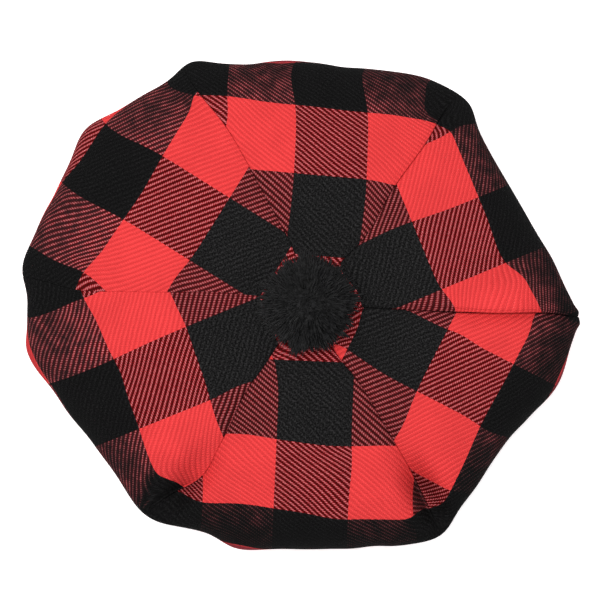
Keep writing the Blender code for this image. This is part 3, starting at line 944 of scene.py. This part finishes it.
# The pompom: black woollen yarn wound into a bundle, tied through the middle of the crown, cut, and trimmed
# to a ball that came out a little uneven. Every cut end has frayed into a small brush of fibres.
POMPOM_RADIUS = 0.0229
POMPOM_CENTRE = MIDDLE + np.array([-0.0003, 0.0009, 0.0838])
POMPOM_SEAT = 0.0676
POMPOM_HEIGHT_SHARE = 0.92
SEAT_SHARE = 0.02  # what is left of the depth of all that would reach below the seat
YARNS = 1050
FIBRES = 9
FIBRE_SIDES = 3
FIBRE_RINGS = (0.66, 0.82, 0.93, 1.0)  # shares of its way out from the middle
FIBRE_RADII = (0.00046, 0.00044, 0.00036, 0.00014)
ASLANT = np.array([0.31, 0.59, 0.74])  # the first spoke of a fibre's rings is square to it
CUT = 0.955  # a yarn's usual length, in radii of the ball
CUT_SPREAD = 0.022
WAY_SPREAD = 0.045
BEND_SPREAD = 0.0020
PART_SPREAD = 0.0012
FIBRE_SPREAD = 0.018
HEART_ROWS = 49
HEART_COLUMNS = 96
HEART_SHARE = 0.82  # of the ball's radius, within which the yarn is packed
HEART_ROUGHNESS = 0.012
LUMPS = 40
LOWEST_LUMP = -0.045
HIGHEST_LUMP = 0.040
LUMP_HALF_ANGLE = 0.26
DENT_HALF_ANGLE = 0.30
PALE_YARN = (0.0165, 0.0163, 0.0168, 1.0)
DARK_YARN = (0.0030, 0.0030, 0.0032, 1.0)
YARN_SCALE = 420.0

# Where the ball falls back at its side, or stands out.
Dent = namedtuple("Dent", "angle rise")
DENTS = (
    Dent(58.0, -0.06),
    Dent(129.0, -0.24),
    Dent(95.0, 0.05),
    Dent(2.0, 0.04),
    Dent(-42.0, -0.09),
    Dent(-105.0, 0.03),
    Dent(-138.0, -0.05),
)


def trimmed(way, bumps):
    """The ball's radius along unit vectors: the mean, changed by a bell round every lump and every dent."""
    radius = np.full(way.shape[:-1], POMPOM_RADIUS)
    for middle, rise, half_angle in bumps:
        away = np.arccos(np.clip(way @ middle, -1.0, 1.0))
        radius = radius * (1.0 + rise * bell(away, 0.0, half_angle))
    return radius


def settled(points):
    """Points of the ball as it sits on the crown: a little flattened, and flat where it is tied down."""
    points = points * np.array([1.0, 1.0, POMPOM_HEIGHT_SHARE]) + POMPOM_CENTRE
    points[..., 2] = np.maximum(points[..., 2], POMPOM_SEAT + SEAT_SHARE * (points[..., 2] - POMPOM_SEAT))
    return points


def pompom_fibres(draw, bumps):
    """Tapered tubes. The yarns leave the middle of the ball along directions that are spread evenly by the
    golden angle and then shaken. A yarn's fibres start together, and part as the square of the way out.
    """
    number = np.arange(YARNS) + 0.5
    up = 1.0 - 2.0 * number / YARNS
    turn = number * np.pi * (3.0 - np.sqrt(5.0))
    level = np.sqrt(1.0 - up * up)
    way = np.stack([level * np.cos(turn), level * np.sin(turn), up], axis=-1)
    way = unit(way + draw.normal(0.0, WAY_SPREAD, way.shape))
    length = trimmed(way, bumps) * (CUT + draw.normal(0.0, CUT_SPREAD, YARNS))
    bend = draw.normal(0.0, BEND_SPREAD, (YARNS, 3))
    part = draw.normal(0.0, PART_SPREAD, (YARNS, FIBRES, 3))
    uneven = length[:, None] * (1.0 + draw.normal(0.0, FIBRE_SPREAD, (YARNS, FIBRES)))
    along = np.array(FIBRE_RINGS)
    thick = np.array(FIBRE_RADII)
    line = way[:, None, None] * (uneven[..., None] * along)[..., None]
    line = line + (bend[:, None, None] + part[:, :, None]) * (along**2)[:, None]
    side = unit(np.cross(way, ASLANT))
    other = np.cross(way, side)
    ring = np.arange(FIBRE_SIDES) * 2.0 * np.pi / FIBRE_SIDES
    spokes = side[:, None] * np.cos(ring)[:, None] + other[:, None] * np.sin(ring)[:, None]
    tubes = line[..., None, :] + spokes[:, None, None] * thick[:, None, None]
    return settled(tubes).reshape(YARNS * FIBRES, len(along), FIBRE_SIDES, 3)


def pompom_heart(draw, bumps):
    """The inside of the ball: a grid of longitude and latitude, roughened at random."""
    down = np.linspace(0.0, np.pi, HEART_ROWS)[:, None]
    turn = np.linspace(0.0, 2.0 * np.pi, HEART_COLUMNS, endpoint=False)[None]
    level = np.sin(down)
    way = np.stack([level * np.cos(turn), level * np.sin(turn), np.cos(down) + 0.0 * turn], axis=-1)
    rough = 1.0 + draw.normal(0.0, HEART_ROUGHNESS, way.shape[:2]) * level
    return settled(way * (trimmed(way, bumps) * HEART_SHARE * rough)[..., None])


def fibre_faces(count, rings, sides):
    """Quads round every tube and a closing triangle at both ends."""
    index = np.arange(count * rings * sides).reshape(count, rings, sides)
    turned = np.roll(index, -1, axis=2)
    quads = np.stack([index[:, :-1], turned[:, :-1], turned[:, 1:], index[:, 1:]], axis=-1).reshape(-1, 4)
    return quads.tolist() + index[:, 0, ::-1].tolist() + index[:, -1].tolist()


def heart_faces(first):
    """Quads between the heart's rows and a fan of triangles to one point at its top and at its bottom."""
    index = first + np.arange(HEART_ROWS * HEART_COLUMNS).reshape(HEART_ROWS, HEART_COLUMNS)
    inner = index[1:-1]
    ahead = np.roll(inner, -1, axis=1)
    quads = np.stack([inner[:-1], inner[1:], ahead[1:], ahead[:-1]], axis=-1).reshape(-1, 4)
    top = np.stack([np.full(HEART_COLUMNS, index[0, 0]), inner[0], ahead[0]], axis=-1)
    bottom = np.stack([np.full(HEART_COLUMNS, index[-1, 0]), ahead[-1], inner[-1]], axis=-1)
    return quads.tolist() + top.tolist() + bottom.tolist()


draw = np.random.default_rng(7)
lumps = unit(draw.normal(0.0, 1.0, (LUMPS, 3)))
rises = draw.uniform(LOWEST_LUMP, HIGHEST_LUMP, LUMPS)
bumps = [(lump, rise, LUMP_HALF_ANGLE) for lump, rise in zip(lumps, rises)]
bumps += [(heading(dent.angle), dent.rise, DENT_HALF_ANGLE) for dent in DENTS]
tubes = pompom_fibres(draw, bumps)
heart = pompom_heart(draw, bumps)
pompom_mesh = bpy.data.meshes.new("pompom_yarn")
pompom_mesh.from_pydata(
    np.concatenate([tubes.reshape(-1, 3), heart.reshape(-1, 3)]),
    [],
    fibre_faces(*tubes.shape[:3]) + heart_faces(tubes.size // 3),
)
pompom_mesh.shade_smooth()
pompom = bpy.data.objects.new("pompom_yarn", pompom_mesh)
bpy.context.scene.collection.objects.link(pompom)

yarn = Nodes("black_yarn")
tone = yarn.noise(yarn.place(), YARN_SCALE, 3.0)
colour = yarn.blend(yarn.ramp(tone, 0.35, 0.70), DARK_YARN, PALE_YARN)
look = {"Base Color": colour, "Roughness": 0.85, "Specular IOR Level": 0.15, "Sheen Weight": 0.03}
yarn.fill(yarn.shader, look)
pompom_mesh.materials.append(yarn.material)
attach(pompom, "root")
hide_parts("pompom")
